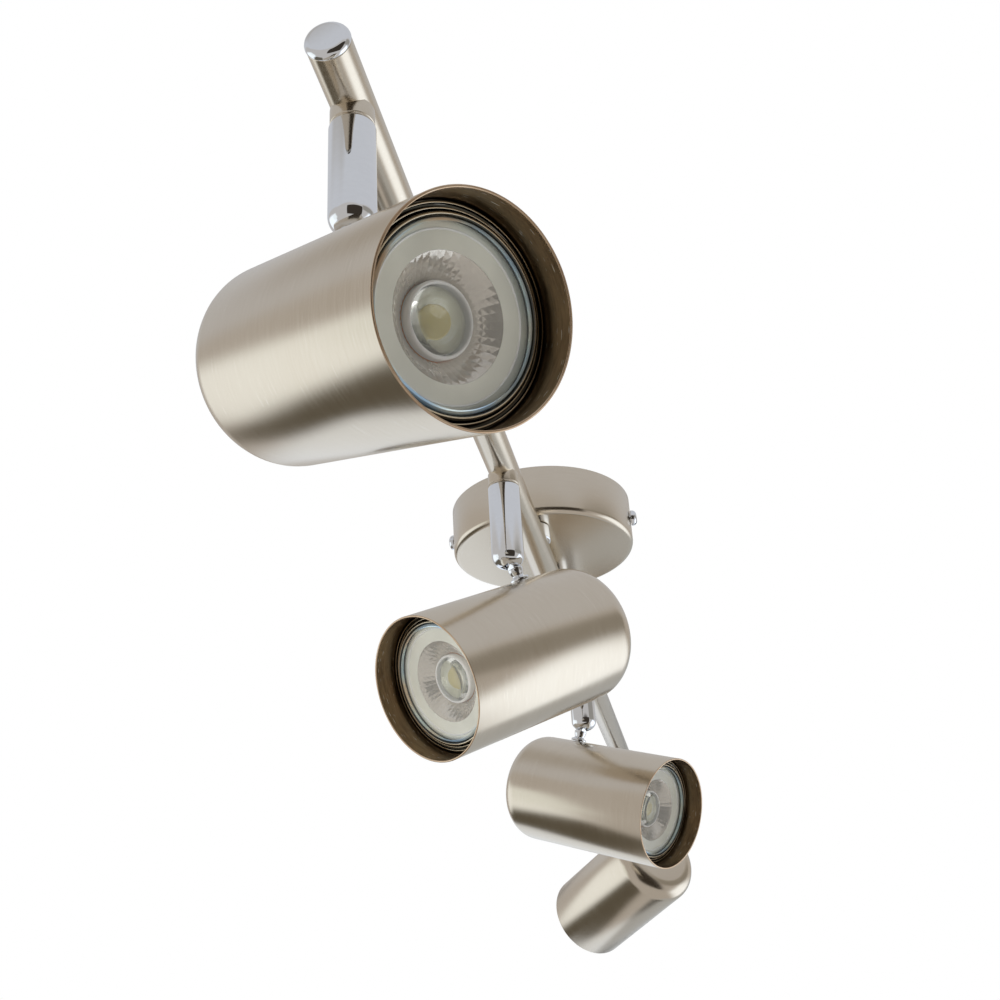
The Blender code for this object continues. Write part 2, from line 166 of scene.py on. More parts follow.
def ease(tree, value, start, end):
    """0 before start and 1 after end, with a soft change between."""
    inputs = {"Value": value, "From Min": start, "From Max": end}
    eased = node(tree, "ShaderNodeMapRange", inputs, interpolation_type="SMOOTHSTEP")
    return eased.outputs[0]


def new_group(name, inputs, outputs):
    """A shader node group with named sockets, and its two end nodes."""
    group = bpy.data.node_groups.new(name, "ShaderNodeTree")
    for socket, kind, value in inputs:
        made = group.interface.new_socket(socket, in_out="INPUT", socket_type=kind)
        if value is not None:
            made.default_value = value
    for socket, kind in outputs:
        group.interface.new_socket(socket, in_out="OUTPUT", socket_type=kind)
    start = node(group, "NodeGroupInput")
    end = node(group, "NodeGroupOutput")
    return group, start.outputs, end


FLOAT = "NodeSocketFloat"
VECTOR = "NodeSocketVector"

# %% [markdown]
# ## Studio
# Polished metal shows the room, so the room is most of the look. A real product studio has a
# white sheet behind, one large softbox on each side and dark gaps between them. Area lamps could
# stand for these, but a metal tube shows a lamp's edges wherever it stands. Painting the softboxes
# on the sky instead, as soft-edged windows by direction, gives every lamp on the bar the same
# clean bands. Only what the camera sees directly is plain white.

# %% A softbox painted on the sky
NEAREST_AHEAD = 0.05


def softbox_group():
    """1 inside a soft-edged rectangle of sky round a centre direction, and 0 outside."""
    inputs = [("Direction", VECTOR, None), ("Centre", VECTOR, None), ("Right", VECTOR, None),
              ("Up", VECTOR, None), ("Half Width", FLOAT, 0.4), ("Half Height", FLOAT, 0.3),
              ("Softness", FLOAT, 0.1)]
    group, given, end = new_group("Softbox", inputs, [("Light", FLOAT)])

    def along(axis):
        pair = {0: given["Direction"], 1: given[axis]}
        return node(group, "ShaderNodeVectorMath", pair, operation="DOT_PRODUCT").outputs["Value"]

    ahead = along("Centre")
    depth = maths(group, "MAXIMUM", ahead, NEAREST_AHEAD)
    inside = maths(group, "GREATER_THAN", ahead, NEAREST_AHEAD)
    for axis, half in (("Right", "Half Width"), ("Up", "Half Height")):
        offset = maths(group, "ABSOLUTE", maths(group, "DIVIDE", along(axis), depth))
        outer = maths(group, "ADD", given[half], given["Softness"])
        inner = maths(group, "SUBTRACT", given[half], given["Softness"])
        inside = maths(group, "MULTIPLY", inside, ease(group, offset, outer, inner))
    group.links.new(inside, end.inputs["Light"])
    return group


SOFTBOX = softbox_group()
print("group", SOFTBOX.name)

# %% [markdown]
# ## Softboxes and gaps
# Each row is a box, a card, a wall or a dark gap, named for what it stands for. Later rows cover
# earlier ones. Bright rows give the metal its highlights, and the gaps beside them give the dark
# bands that make a tube look round. The room's own colour fills the rest.

# %% Softboxes and gaps
# name: azimuth, elevation, half width, half height, roll (degrees), edge softness, light colour
WINDOWS = {
    "ceiling": (0, 90, 60, 60, 0, 0.30, (0.57, 0.575, 0.60)),
    "corner behind left": (115, 62, 24, 13, 0, 0.20, (0.45, 0.43, 0.41)),
    "gap under left box": (62, -32, 31, 21, -25, 0.10, (0.12, 0.105, 0.08)),
    "left box": (84, -5, 27, 17, -25, 0.11, (1.09, 1.14, 1.18)),
    "left box rear": (106, -10, 10, 11, 0, 0.10, (0.95, 1.00, 1.00)),
    "front left card": (20, -16, 18, 24, 30, 0.08, (0.90, 0.96, 1.05)),
    "gap over right box": (-92, 12, 26, 13, 0, 0.06, (0.30, 0.28, 0.25)),
    "right box": (-60, -20, 27, 20, 0, 0.19, (1.34, 1.43, 1.56)),
    "front wall": (-12, -20, 20, 40, 0, 0.05, (0.49, 0.51, 0.53)),
    "forward glow": (7, 6, 9, 10, 0, 0.14, (0.80, 0.85, 0.91)),
    "slit between cards": (3, -50, 9, 6, 0, 0.07, (0.04, 0.03, 0.02)),
    "camera and its stand": (207, -12, 34, 28, 0, 0.03, (0.04, 0.032, 0.025)),
}
ROOM_COLOUR = (0.52, 0.495, 0.475)
print("sky windows", len(WINDOWS))

# %% Paint the sky
world = bpy.data.worlds.new("studio")
scene.world = world
world.use_nodes = True
sky = world.node_tree
sky.nodes.clear()
direction = node(sky, "ShaderNodeTexCoord").outputs["Generated"]
colour = (*ROOM_COLOUR, 1)
for name, (azimuth, elevation, width, height, roll, softness, light) in WINDOWS.items():
    turn = Matrix.Rotation(math.radians(azimuth), 3, "Z")
    turn = turn @ Matrix.Rotation(math.radians(-elevation), 3, "Y")
    turn = turn @ Matrix.Rotation(math.radians(roll), 3, "X")
    box = node(sky, "ShaderNodeGroup", node_tree=SOFTBOX, label=name)
    sky.links.new(direction, box.inputs["Direction"])
    for socket, column in (("Centre", 0), ("Right", 1), ("Up", 2)):
        box.inputs[socket].default_value = turn.col[column]
    box.inputs["Half Width"].default_value = math.tan(math.radians(width))
    box.inputs["Half Height"].default_value = math.tan(math.radians(height))
    box.inputs["Softness"].default_value = softness
    colour = blend_colours(sky, box.outputs["Light"], colour, (*light, 1))
room = node(sky, "ShaderNodeBackground", {"Color": colour, "Strength": 1.0})
sheet = node(sky, "ShaderNodeBackground", {"Color": (1, 1, 1, 1), "Strength": 1.0})
seen = node(sky, "ShaderNodeLightPath").outputs["Is Camera Ray"]
both = node(sky, "ShaderNodeMixShader", {0: seen, 1: room.outputs[0], 2: sheet.outputs[0]})
node(sky, "ShaderNodeOutputWorld", {"Surface": both.outputs[0]})
print("sky nodes", len(sky.nodes))

# %% [markdown]
# ## Floor
# The light hangs from a ceiling, so the floor is well below it and only other views see it. It is
# one pale square that glows a little, as a lit studio floor does. It is hidden from reflections and
# bounced light, so it greys none of the metal and the lamps' light comes from the sky and fills only.

# %% Floor


def plain_material(name, colour, roughness):
    """A material with one shader, and that shader."""
    material = bpy.data.materials.new(name)
    material.use_nodes = True
    shader = material.node_tree.nodes["Principled BSDF"]
    shader.inputs["Base Color"].default_value = (*colour, 1)
    shader.inputs["Roughness"].default_value = roughness
    return material, shader


FLOOR_Z = -1.05
FLOOR_REACH = 20.0
FLOOR_GLOW = 0.32
floor_mesh = bmesh.new()
bmesh.ops.create_grid(floor_mesh, x_segments=1, y_segments=1, size=FLOOR_REACH)
bmesh.ops.translate(floor_mesh, verts=floor_mesh.verts, vec=(0, 0, FLOOR_Z))
floor_data = bpy.data.meshes.new("floor")
floor_mesh.to_mesh(floor_data)
floor_mesh.free()
floor_paint, floor_shader = plain_material("floor_paint", (0.82, 0.81, 0.79), 0.7)
floor_shader.inputs["Emission Color"].default_value = (1.0, 0.99, 0.97, 1)
floor_shader.inputs["Emission Strength"].default_value = FLOOR_GLOW
floor_data.materials.append(floor_paint)
floor = bpy.data.objects.new("floor", floor_data)
scene.collection.objects.link(floor)
floor.visible_glossy = False
floor.visible_diffuse = False
print("floor at", FLOOR_Z)

# %% [markdown]
# ## Fill light
# The frosted and white parts sit deep in their shells, where little of the painted sky reaches
# them. Two broad, weak area lamps below, one on each side, fill them. They are hidden from mirror
# reflections, so they lift the matt pieces without adding softboxes to the metal.

# %% Fill lights
FILL_SIZE = 0.7
FILL_AIM = Vector((-0.1, 0.0, -0.12))
FILLS = {"fill_left": ((-0.9, 0.5, -0.55), 5.0), "fill_right": ((-0.4, -0.95, -0.5), 2.8)}
for name, (place, watts) in FILLS.items():
    fill_data = bpy.data.lights.new(name, "AREA")
    fill_data.shape = "DISK"
    fill_data.size = FILL_SIZE
    fill_data.energy = watts
    fill = bpy.data.objects.new(name, fill_data)
    fill.location = place
    aim = FILL_AIM - Vector(place)
    fill.rotation_euler = aim.to_track_quat("-Z", "Y").to_euler()
    fill.visible_glossy = False
    scene.collection.objects.link(fill)
print("fill lamps", len(FILLS))

# %% [markdown]
# ## Effects that several finishes share
# A lathe or a brush leaves fine rings round a turned piece. The rings follow the piece's own axis,
# so each turned piece carries its unplaced coordinates in an attribute called turning, with Z on
# the lathe axis. Noise that changes fast along the radius and the height, and slowly round the
# axis, draws rings on the sides and on the ends alike. Wear and finger marks are broader noise.

# %% Rings left by the brush
SMALLEST_RADIUS = 0.0002
SCRATCH_RINGS = 2600.0


def brushed_rings_group():
    """Fine rings about Z, from 0 to 1, and broad cloudy patches."""
    inputs = [("Vector", VECTOR, None), ("Rings", FLOAT, 1500.0), ("Length", FLOAT, 3.0)]
    outputs = [("Grain", FLOAT), ("Cloud", FLOAT), ("Scratches", FLOAT)]
    group, given, end = new_group("Brushed rings", inputs, outputs)
    parts = node(group, "ShaderNodeSeparateXYZ", {0: given["Vector"]}).outputs
    square = maths(group, "ADD", maths(group, "POWER", parts["X"], 2.0),
                   maths(group, "POWER", parts["Y"], 2.0))
    radius = maths(group, "SQRT", square)
    safe = maths(group, "MAXIMUM", radius, SMALLEST_RADIUS)
    around_x = maths(group, "MULTIPLY", maths(group, "DIVIDE", parts["X"], safe), given["Length"])
    around_y = maths(group, "MULTIPLY", maths(group, "DIVIDE", parts["Y"], safe), given["Length"])
    height = maths(group, "MULTIPLY", parts["Z"], given["Rings"])
    across = maths(group, "MULTIPLY", radius, given["Rings"])
    wrapped = node(group, "ShaderNodeCombineXYZ", {0: around_x, 1: around_y, 2: height}).outputs[0]
    grain = node(group, "ShaderNodeTexNoise",
                 {"Vector": wrapped, "W": across, "Scale": 1.0, "Detail": 3.0},
                 noise_dimensions="4D").outputs[0]
    cloud = node(group, "ShaderNodeTexNoise",
                 {"Vector": given["Vector"], "Scale": 45.0, "Detail": 4.0}).outputs[0]
    slim = maths(group, "MULTIPLY", parts["Z"], SCRATCH_RINGS)
    marks = node(group, "ShaderNodeCombineXYZ",
                 {0: maths(group, "MULTIPLY", around_x, 1.3),
                  1: maths(group, "MULTIPLY", around_y, 1.3), 2: slim}).outputs[0]
    scratch = node(group, "ShaderNodeTexNoise",
                   {"Vector": marks, "W": across, "Scale": 1.3, "Detail": 0.0},
                   noise_dimensions="4D").outputs[0]
    group.links.new(grain, end.inputs["Grain"])
    group.links.new(cloud, end.inputs["Cloud"])
    group.links.new(ease(group, scratch, 0.72, 0.80), end.inputs["Scratches"])
    return group


BRUSHED = brushed_rings_group()
print("group", BRUSHED.name)

# %% Cloudy wear for pieces that weren't turned


def cloudy_wear_group():
    """Broad patches and a fine tooth, from 0 to 1."""
    inputs = [("Vector", VECTOR, None), ("Patch", FLOAT, 60.0), ("Tooth", FLOAT, 2500.0)]
    group, given, end = new_group("Cloudy wear", inputs, [("Patches", FLOAT), ("Fine", FLOAT)])
    for size, result, detail in (("Patch", "Patches", 4.0), ("Tooth", "Fine", 2.0)):
        noise = node(group, "ShaderNodeTexNoise",
                     {"Vector": given["Vector"], "Scale": given[size], "Detail": detail})
        group.links.new(noise.outputs[0], end.inputs[result])
    return group


WORN = cloudy_wear_group()
print("group", WORN.name)

# %% [markdown]
# ## Finishes
# Satin nickel is plated steel brushed before plating: a warm grey metal whose rings blur what it
# mirrors along the tube but leave the bands along its length crisp. A normal bump from the rings
# does part of that, so the roughness can stay fairly low. The same recipe with other numbers gives
# the polished chrome, the shells' dull inside, whose dark brown also holds painted shade, the cut
# rim, the lamps' blackened rings, and the gold painted highlight on the rings' bead tops.

# %% A metal finish from the ring group
SCRATCH_TONE = (0.92, 0.88, 0.80, 1)


def turned_metal(name, colours, roughness, rings=1500.0, depth=0.004, length=3.0, marks=0.25):
    """Metal with brushed rings. Colours are the low and high ends, roughness likewise."""
    material, shader = plain_material(name, colours[0], roughness[0])
    tree = material.node_tree
    shader.inputs["Metallic"].default_value = 1.0
    turning = node(tree, "ShaderNodeAttribute", attribute_name="turning").outputs["Vector"]
    rings_node = node(tree, "ShaderNodeGroup", node_tree=BRUSHED)
    tree.links.new(turning, rings_node.inputs["Vector"])
    rings_node.inputs["Rings"].default_value = rings
    rings_node.inputs["Length"].default_value = length
    grain = rings_node.outputs["Grain"]
    cloud = rings_node.outputs["Cloud"]
    scratches = maths(tree, "MULTIPLY", rings_node.outputs["Scratches"], marks)
    tone = maths(tree, "ADD", maths(tree, "MULTIPLY", grain, 0.6),
                 maths(tree, "MULTIPLY", cloud, 0.4))
    base = blend_colours(tree, ease(tree, tone, 0.3, 0.7), (*colours[0], 1), (*colours[1], 1))
    base = blend_colours(tree, scratches, base, SCRATCH_TONE)
    tree.links.new(base, shader.inputs["Base Color"])
    spread = {"Value": tone, "From Min": 0.3, "From Max": 0.7,
              "To Min": roughness[0], "To Max": roughness[1]}
    rough = node(tree, "ShaderNodeMapRange", spread).outputs[0]
    tree.links.new(rough, shader.inputs["Roughness"])
    height = maths(tree, "SUBTRACT", grain, maths(tree, "MULTIPLY", scratches, 0.6))
    bump = node(tree, "ShaderNodeBump", {"Height": height, "Distance": depth * MM,
                                         "Strength": 1.0})
    tree.links.new(bump.outputs[0], shader.inputs["Normal"])
    return material

# %% The metal finishes
NICKEL_TONES = ((0.69, 0.615, 0.505), (0.73, 0.66, 0.55))
SATIN_NICKEL = turned_metal("satin_nickel_brushed", NICKEL_TONES, (0.18, 0.26), rings=2300.0,
                            depth=0.0018)
BAR_NICKEL = turned_metal("satin_nickel_drawn", NICKEL_TONES, (0.19, 0.25), rings=2300.0,
                          depth=0.0005)
CHROME = turned_metal("chrome_polished", ((0.84, 0.86, 0.885), (0.87, 0.89, 0.915)),
                      (0.02, 0.05), rings=900.0, depth=0.00004, marks=0.06)
# The shells' inside: its own warm unpolished brown, made darker as painted shade of the deep mouth.
SHELL_INSIDE_SHADED = turned_metal("shell_inside_dull_painted_shade", ((0.19, 0.13, 0.075), (0.34, 0.24, 0.14)),
                            (0.26, 0.40), rings=1500.0, depth=0.003, length=5.0, marks=0.8)
CUT_RIM = turned_metal("shell_rim_cut", ((0.46, 0.31, 0.19), (0.72, 0.56, 0.40)),
                       (0.20, 0.30), depth=0.001)
RING_DARK = turned_metal("ring_blackened", ((0.022, 0.019, 0.014), (0.07, 0.062, 0.045)),
                         (0.22, 0.36), rings=2200.0, depth=0.002)
# Gold on the ring's bead tops and the lamp rim's narrow top: a painted highlight.
RING_EDGE_HIGHLIGHT = turned_metal("ring_edge_painted_highlight", ((0.66, 0.55, 0.38), (0.84, 0.74, 0.56)),
                         (0.16, 0.26), depth=0.001)
METALS = (SATIN_NICKEL, BAR_NICKEL, CHROME, SHELL_INSIDE_SHADED, CUT_RIM, RING_DARK, RING_EDGE_HIGHLIGHT)
print("metal finishes", [metal.name for metal in METALS])

# %% [markdown]
# ## The lathe
# A turned piece starts as half its section: a chain of points given as radius and height in
# millimetres, with a corner radius where the real piece isn't sharp. A vertex bevel on the bare
# chain rounds those corners, and one spin turns the chain into a skin. Doubles on the axis are
# merged before the normals are made to point outwards, in that order.

# %% The lathe
SAME_POINT = 0.001 * MM


def spun(mesh, steps):
    """Spin a mesh's chain of edges all round Z, and make its normals point outwards."""
    bmesh.ops.spin(mesh, geom=mesh.verts[:] + mesh.edges[:], cent=(0, 0, 0), axis=(0, 0, 1),
                   dvec=(0, 0, 0), angle=math.tau, steps=steps, use_merge=True,
                   use_duplicate=False)
    bmesh.ops.remove_doubles(mesh, verts=mesh.verts, dist=SAME_POINT)
    bmesh.ops.recalc_face_normals(mesh, faces=mesh.faces)
    return mesh


def lathe(profile, steps=64):
    """Spin (radius, height, corner radius) points about Z. A chain off the axis is closed."""
    mesh = bmesh.new()
    points = [mesh.verts.new((point[0] * MM, 0, point[1] * MM)) for point in profile]
    pairs = list(zip(points, points[1:]))
    if profile[0][0] > 0:
        pairs.append((points[-1], points[0]))
    for pair in pairs:
        mesh.edges.new(pair)
    for point, corner in zip(points, profile):
        if len(corner) == 3:
            bmesh.ops.bevel(mesh, geom=[point], offset=corner[2] * MM, offset_type="OFFSET",
                            segments=max(2, min(12, round(2 + corner[2] * 2))),
                            profile=0.5, affect="VERTICES", material=-1)
    return spun(mesh, steps)

# %% [markdown]
# ## Blocks and cuts
# What a lathe can't make is a block, or a cut in a turned piece. A cut is a Boolean modifier on a
# bench object, read back through the depsgraph, so nothing of the bench is left in the scene.

# %% Blocks and cuts


def block(width, depth, height, centre=(0, 0, 0), edge=0.0):
    """A box in millimetres with rounded edges."""
    mesh = bmesh.new()
    bmesh.ops.create_cube(mesh, size=1)
    bmesh.ops.scale(mesh, verts=mesh.verts, vec=(width * MM, depth * MM, height * MM))
    bmesh.ops.translate(mesh, verts=mesh.verts, vec=Vector(centre) * MM)
    if edge:
        bmesh.ops.bevel(mesh, geom=mesh.edges[:], offset=edge * MM, offset_type="OFFSET",
                        segments=3, profile=0.5, affect="EDGES", material=-1)
    return mesh


def gathered(*meshes):
    """Several meshes in one."""
    whole = meshes[0]
    for other in meshes[1:]:
        passed = bpy.data.meshes.new("passed")
        other.to_mesh(passed)
        other.free()
        whole.from_mesh(passed)
        bpy.data.meshes.remove(passed)
    return whole


def workpiece(name, mesh):
    """A mesh as an object on the bench, for a modifier to work on."""
    data = bpy.data.meshes.new(name)
    mesh.to_mesh(data)
    mesh.free()
    made = bpy.data.objects.new(name, data)
    scene.collection.objects.link(made)
    return made


def milled(mesh, *tools):
    """Cut the tools' shapes out of a mesh."""
    work = workpiece("work", mesh)
    bench = [work]
    for tool in tools:
        cutter = workpiece("cutter", tool)
        bench.append(cutter)
        cut = work.modifiers.new("cut", "BOOLEAN")
        cut.operation = "DIFFERENCE"
        cut.solver = "EXACT"
        cut.object = cutter
    result = bmesh.new()
    result.from_object(work, bpy.context.evaluated_depsgraph_get())
    for made in bench:
        data = made.data
        bpy.data.objects.remove(made)
        bpy.data.meshes.remove(data)
    bmesh.ops.remove_doubles(result, verts=result.verts, dist=SAME_POINT)
    return result

# %% [markdown]
# ## Finishing a piece
# Before a piece leaves the bench, its faces get their finish numbers and its shading is set. Its
# coordinates are noted while it still stands on the lathe axis. Then it is moved to its place,
# parented to an empty for the body it rides on, and the model's plain solid that it stands for is
# hidden.

# %% Painting, smoothing and hand-over


def paint(mesh, index, belongs):
    """Give a material number to the faces that belong."""
    for face in mesh.faces:
        if belongs(face.calc_center_median() / MM, face.normal):
            face.material_index = index


SHARP = math.radians(32)


def smooth(mesh, sharp=SHARP):
    """Shade smooth, apart from edges that turn more than the sharp angle."""
    for face in mesh.faces:
        face.smooth = True
    for edge in mesh.edges:
        edge.smooth = len(edge.link_faces) == 2 and edge.calc_face_angle(0.0) < sharp


def hand_over(name, mesh, place, body, finishes, stands_for=()):
    """Note the unplaced coordinates, put the mesh in place, parent it to its body's empty and hide the
    parts it stands for.
    """
    mesh.normal_update()
    turning = mesh.verts.layers.float_vector.new("turning")
    for vert in mesh.verts:
        vert[turning] = vert.co
    bmesh.ops.transform(mesh, matrix=place, verts=mesh.verts)
    data = bpy.data.meshes.new(name)
    mesh.to_mesh(data)
    mesh.free()
    for finish in finishes:
        data.materials.append(finish)
    piece = bpy.data.objects.new(name, data)
    scene.collection.objects.link(piece)
    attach(piece, body)
    if stands_for:
        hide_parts(*stands_for)
    return piece


def report(step, pieces):
    """Print how many faces the step's pieces have."""
    print(step, len(pieces), "pieces,", sum(len(piece.data.polygons) for piece in pieces), "faces")

# %% [markdown]
# ## Bar and end caps
# The bar is drawn tube, cut to length and brushed. A chromed plug is pressed into each end, and
# its head stands a little proud of the tube. Both are lathe work, laid along X. The tube's bore is
# never seen past the plugs, so its skin is closed flat at each end.

# %% Bar and end caps
BAR_RADIUS = 6.75
BAR_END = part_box("bar")[1][0] / MM
on_bar = Matrix.Translation((0, 0, BAR_Z)) @ ALONG_X
tube = lathe([(0, -BAR_END), (BAR_RADIUS, -BAR_END, 0.35), (BAR_RADIUS, BAR_END, 0.35),
              (0, BAR_END)], steps=96)
smooth(tube)
bar_pieces = [hand_over("bar_tube", tube, on_bar, FIXED,
                        [BAR_NICKEL], ["bar"])]
CAP_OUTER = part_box("end_cap_far")[1][0] / MM
CAP_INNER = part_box("end_cap_far")[0][0] / MM
for side, half_turn in (("far", 0.0), ("near", math.pi)):
    plug = lathe([(0, CAP_INNER), (5.2, CAP_INNER, 0.4), (5.2, BAR_END + 0.2),
                  (6.9, BAR_END + 0.2, 0.15), (6.9, CAP_OUTER, 2.2), (0, CAP_OUTER)], steps=96)
    smooth(plug)
    place = Matrix.Translation((0, 0, BAR_Z)) @ Matrix.Rotation(half_turn, 4, "Z") @ ALONG_X
    bar_pieces.append(hand_over(f"bar_plug_{side}", plug, place, FIXED,
                                [CHROME], [f"end_cap_{side}"]))
report("bar", bar_pieces)

# %% [markdown]
# ## Ceiling rose
# The rose is a shallow cup pressed from sheet, with a rounded lower edge, brushed on a turntable.
# Two domed screws in its side hold it to the bracket, and two chromed spacers carry the bar. Each
# spacer is milled to sit over the round bar, which a boolean cut with the bar's own shape gives.

# %% Rose, spacers and side screws
rose_low, rose_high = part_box("rose_cup")
ROSE_RADIUS = rose_high[0] / MM
ROSE_FLOOR = rose_low[2] / MM
ROSE_WALL = 1.2
cup = lathe([(0, ROSE_FLOOR), (ROSE_RADIUS, ROSE_FLOOR, 3.0), (ROSE_RADIUS, 0, 0.4),
             (ROSE_RADIUS - ROSE_WALL, 0, 0.4),
             (ROSE_RADIUS - ROSE_WALL, ROSE_FLOOR + ROSE_WALL, 1.8),
             (0, ROSE_FLOOR + ROSE_WALL)], steps=160)
smooth(cup)
rose_pieces = [hand_over("ceiling_rose", cup, Matrix(), FIXED,
                         [SATIN_NICKEL], ["rose_cup"])]
SPACER_RADIUS = 8.0
for side in ("near", "far"):
    low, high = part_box(f"spacer_{side}")
    middle = (low[0] + high[0]) / 2
    top = high[2] / MM
    bottom = low[2] / MM
    post = lathe([(0, bottom), (SPACER_RADIUS, bottom, 0.7), (SPACER_RADIUS, top, 0.5),
                  (0, top)], steps=72)
    saddle = lathe([(0, -20), (BAR_RADIUS + 0.2, -20), (BAR_RADIUS + 0.2, 20), (0, 20)], steps=72)
    bmesh.ops.transform(saddle, matrix=on_bar, verts=saddle.verts)
    post = milled(post, saddle)
    smooth(post)
    rose_pieces.append(hand_over(f"rose_spacer_{side}", post, Matrix.Translation((middle, 0, 0)),
                                 FIXED, [CHROME],
                                 [f"spacer_{side}"]))
for name, side in (("left", 1), ("right", -1)):
    low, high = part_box(f"rose_screw_{name}")
    height = (low[2] + high[2]) / 2
    seat = side * (ROSE_RADIUS + 0.3) * MM
    screw = lathe([(0, -6.9), (1.9, -6.9, 0.4), (1.9, 0), (4.0, 0, 0.2), (4.0, 2.9, 2.3),
                   (0, 2.9)], steps=48)
    screw = milled(screw, block(1.0, 10, 2.4, (0, 0, 2.9)))
    smooth(screw)
    place = Matrix.Translation((0, seat, height)) @ Matrix.Rotation(-side * math.pi / 2, 4, "X")
    rose_pieces.append(hand_over(f"rose_side_screw_{name}", screw, place, FIXED,
                                 [CHROME], [f"rose_screw_{name}"]))
report("rose", rose_pieces)

# %% [markdown]
# ## Stems and knuckles
# Below each satin collar hangs a chromed stem with a domed end. A slot milled up one side of the
# dome takes the tongue of the knuckle, so the lamp can fold up to level and down to vertical. The
# stem is a lathe shape with a round pocket and an open slot cut out of it.

# %% Collars, stems and knuckles
STEM_RADIUS = 7.0
STEM_TOP = -11.3
KNUCKLE_Z = -42.5
STEM_END = KNUCKLE_Z - STEM_RADIUS
SLOT_WIDTH = 5.0
TONGUE_RADIUS = 4.4
NECK_ROOM = 2.6


def collar():
    """Short satin sleeve under the bar, with a groove near its lower end."""
    shape = lathe([(0, -4.5), (6.65, -4.5), (6.65, -9.9, 0.1), (6.4, -10.1),
                   (6.4, -10.3), (6.65, -10.5, 0.1), (6.65, -11.0, 0.2), (0, -11.0)], steps=72)
    smooth(shape)
    return shape


def stem():
    """Polished rod with a domed end, cut to take the knuckle."""
    shape = lathe([(0, STEM_TOP), (STEM_RADIUS, STEM_TOP, 0.35),
                   (STEM_RADIUS, STEM_END, 5.5), (0, STEM_END)], steps=72)
    half = SLOT_WIDTH / 2
    pocket = lathe([(0, -half + 0.05), (TONGUE_RADIUS + 0.3, -half + 0.05),
                    (TONGUE_RADIUS + 0.3, half - 0.05), (0, half - 0.05)], steps=48)
    at_knuckle = Matrix.Translation((0, 0, KNUCKLE_Z * MM)) @ ALONG_Y
    bmesh.ops.transform(pocket, matrix=at_knuckle, verts=pocket.verts)
    reach = 2 * STEM_RADIUS
    slot = block(reach, SLOT_WIDTH, reach,
                 (NECK_ROOM - reach / 2, 0, KNUCKLE_Z + NECK_ROOM - reach / 2))
    shape = milled(shape, pocket, slot)
    smooth(shape)
    return shape


def knuckle():
    """Round tongue, web and necked foot that holds the shell."""
    half = SLOT_WIDTH / 2 - 0.3
    tongue = lathe([(0, -half), (TONGUE_RADIUS, -half, 0.35), (TONGUE_RADIUS, half, 0.35),
                    (0, half)], steps=48)
    bmesh.ops.transform(tongue, matrix=ALONG_Y, verts=tongue.verts)
    web = block(2 * half, 2 * half, 8.5, (0, 0, -4.25), 0.4)
    neck = lathe([(0, -7.4), (3.4, -7.4, 0.4), (3.1, -9.3, 0.5), (2.4, -11.2, 0.6),
                  (4.2, -12.1, 0.25), (4.2, -13.2, 0.15), (1.8, -13.2), (1.8, -18.0, 0.3),
                  (0, -18.0)], steps=48)
    shape = gathered(neck, tongue, web)
    smooth(shape)
    return shape


stem_pieces = []
for number in LAMPS:
    stem_pieces.append(hand_over(f"stem_collar_{number}", collar(), STEM_FRAMES[number],
                                 FIXED, [BAR_NICKEL],
                                 [f"collar_{number}"]))
    stem_pieces.append(hand_over(f"lamp_stem_{number}", stem(), STEM_FRAMES[number],
                                 f"swivel_{number}", [CHROME],
                                 [f"stem_{number}"]))
    stem_pieces.append(hand_over(f"lamp_knuckle_{number}", knuckle(), LAMP_FRAMES[number],
                                 f"lamp_{number}", [CHROME],
                                 [f"knuckle_{number}"]))
report("stems", stem_pieces)

# %% [markdown]
# ## Shells
# A shell is drawn from thin sheet over a mandrel, so it is one skin with a closed, rounded rear
# and a mouth trimmed square. The outside is brushed and plated. The inside was never polished, and
# its dark warm brown is also painted shade of the deep mouth. The cut rim keeps a warm, rubbed
# edge. A closed half section spun once gives the wall its real thickness. Three finishes are
# painted on it by where each face looks.

# %% Shells
SHELL_WALL = 0.8
SHELL_FRONT = 71.5
SHELL_REAR = -26.5
SHELL_EDGE = 11.0
SHELL_MIDDLE = Vector((0, 0, 20))


def shell():
    """One skin of sheet metal with a rounded rear and an open mouth."""
    inner = SHELL_RADIUS - SHELL_WALL
    shape = lathe([(0, SHELL_REAR), (SHELL_RADIUS, SHELL_REAR, SHELL_EDGE),
                   (SHELL_RADIUS, SHELL_FRONT, 0.22), (inner, SHELL_FRONT, 0.22),
                   (inner, SHELL_REAR + SHELL_WALL, SHELL_EDGE - SHELL_WALL),
                   (0, SHELL_REAR + SHELL_WALL)], steps=160)
    # Inside faces take the dark brown that holds painted shade.
    paint(shape, 1, lambda centre, normal: normal.dot(centre - SHELL_MIDDLE) < 0)
    paint(shape, 2, lambda centre, normal: centre.z > SHELL_FRONT - 0.21)
    smooth(shape, math.radians(60))
    return shape


SHELL_FINISHES = [SATIN_NICKEL, SHELL_INSIDE_SHADED, CUT_RIM]
shell_pieces = [hand_over(f"lamp_shell_{number}", shell(), LAMP_FRAMES[number] @ ALONG_BEAM,
                          f"lamp_{number}", SHELL_FINISHES, [f"shell_{number}"])
                for number in LAMPS]
report("shells", shell_pieces)
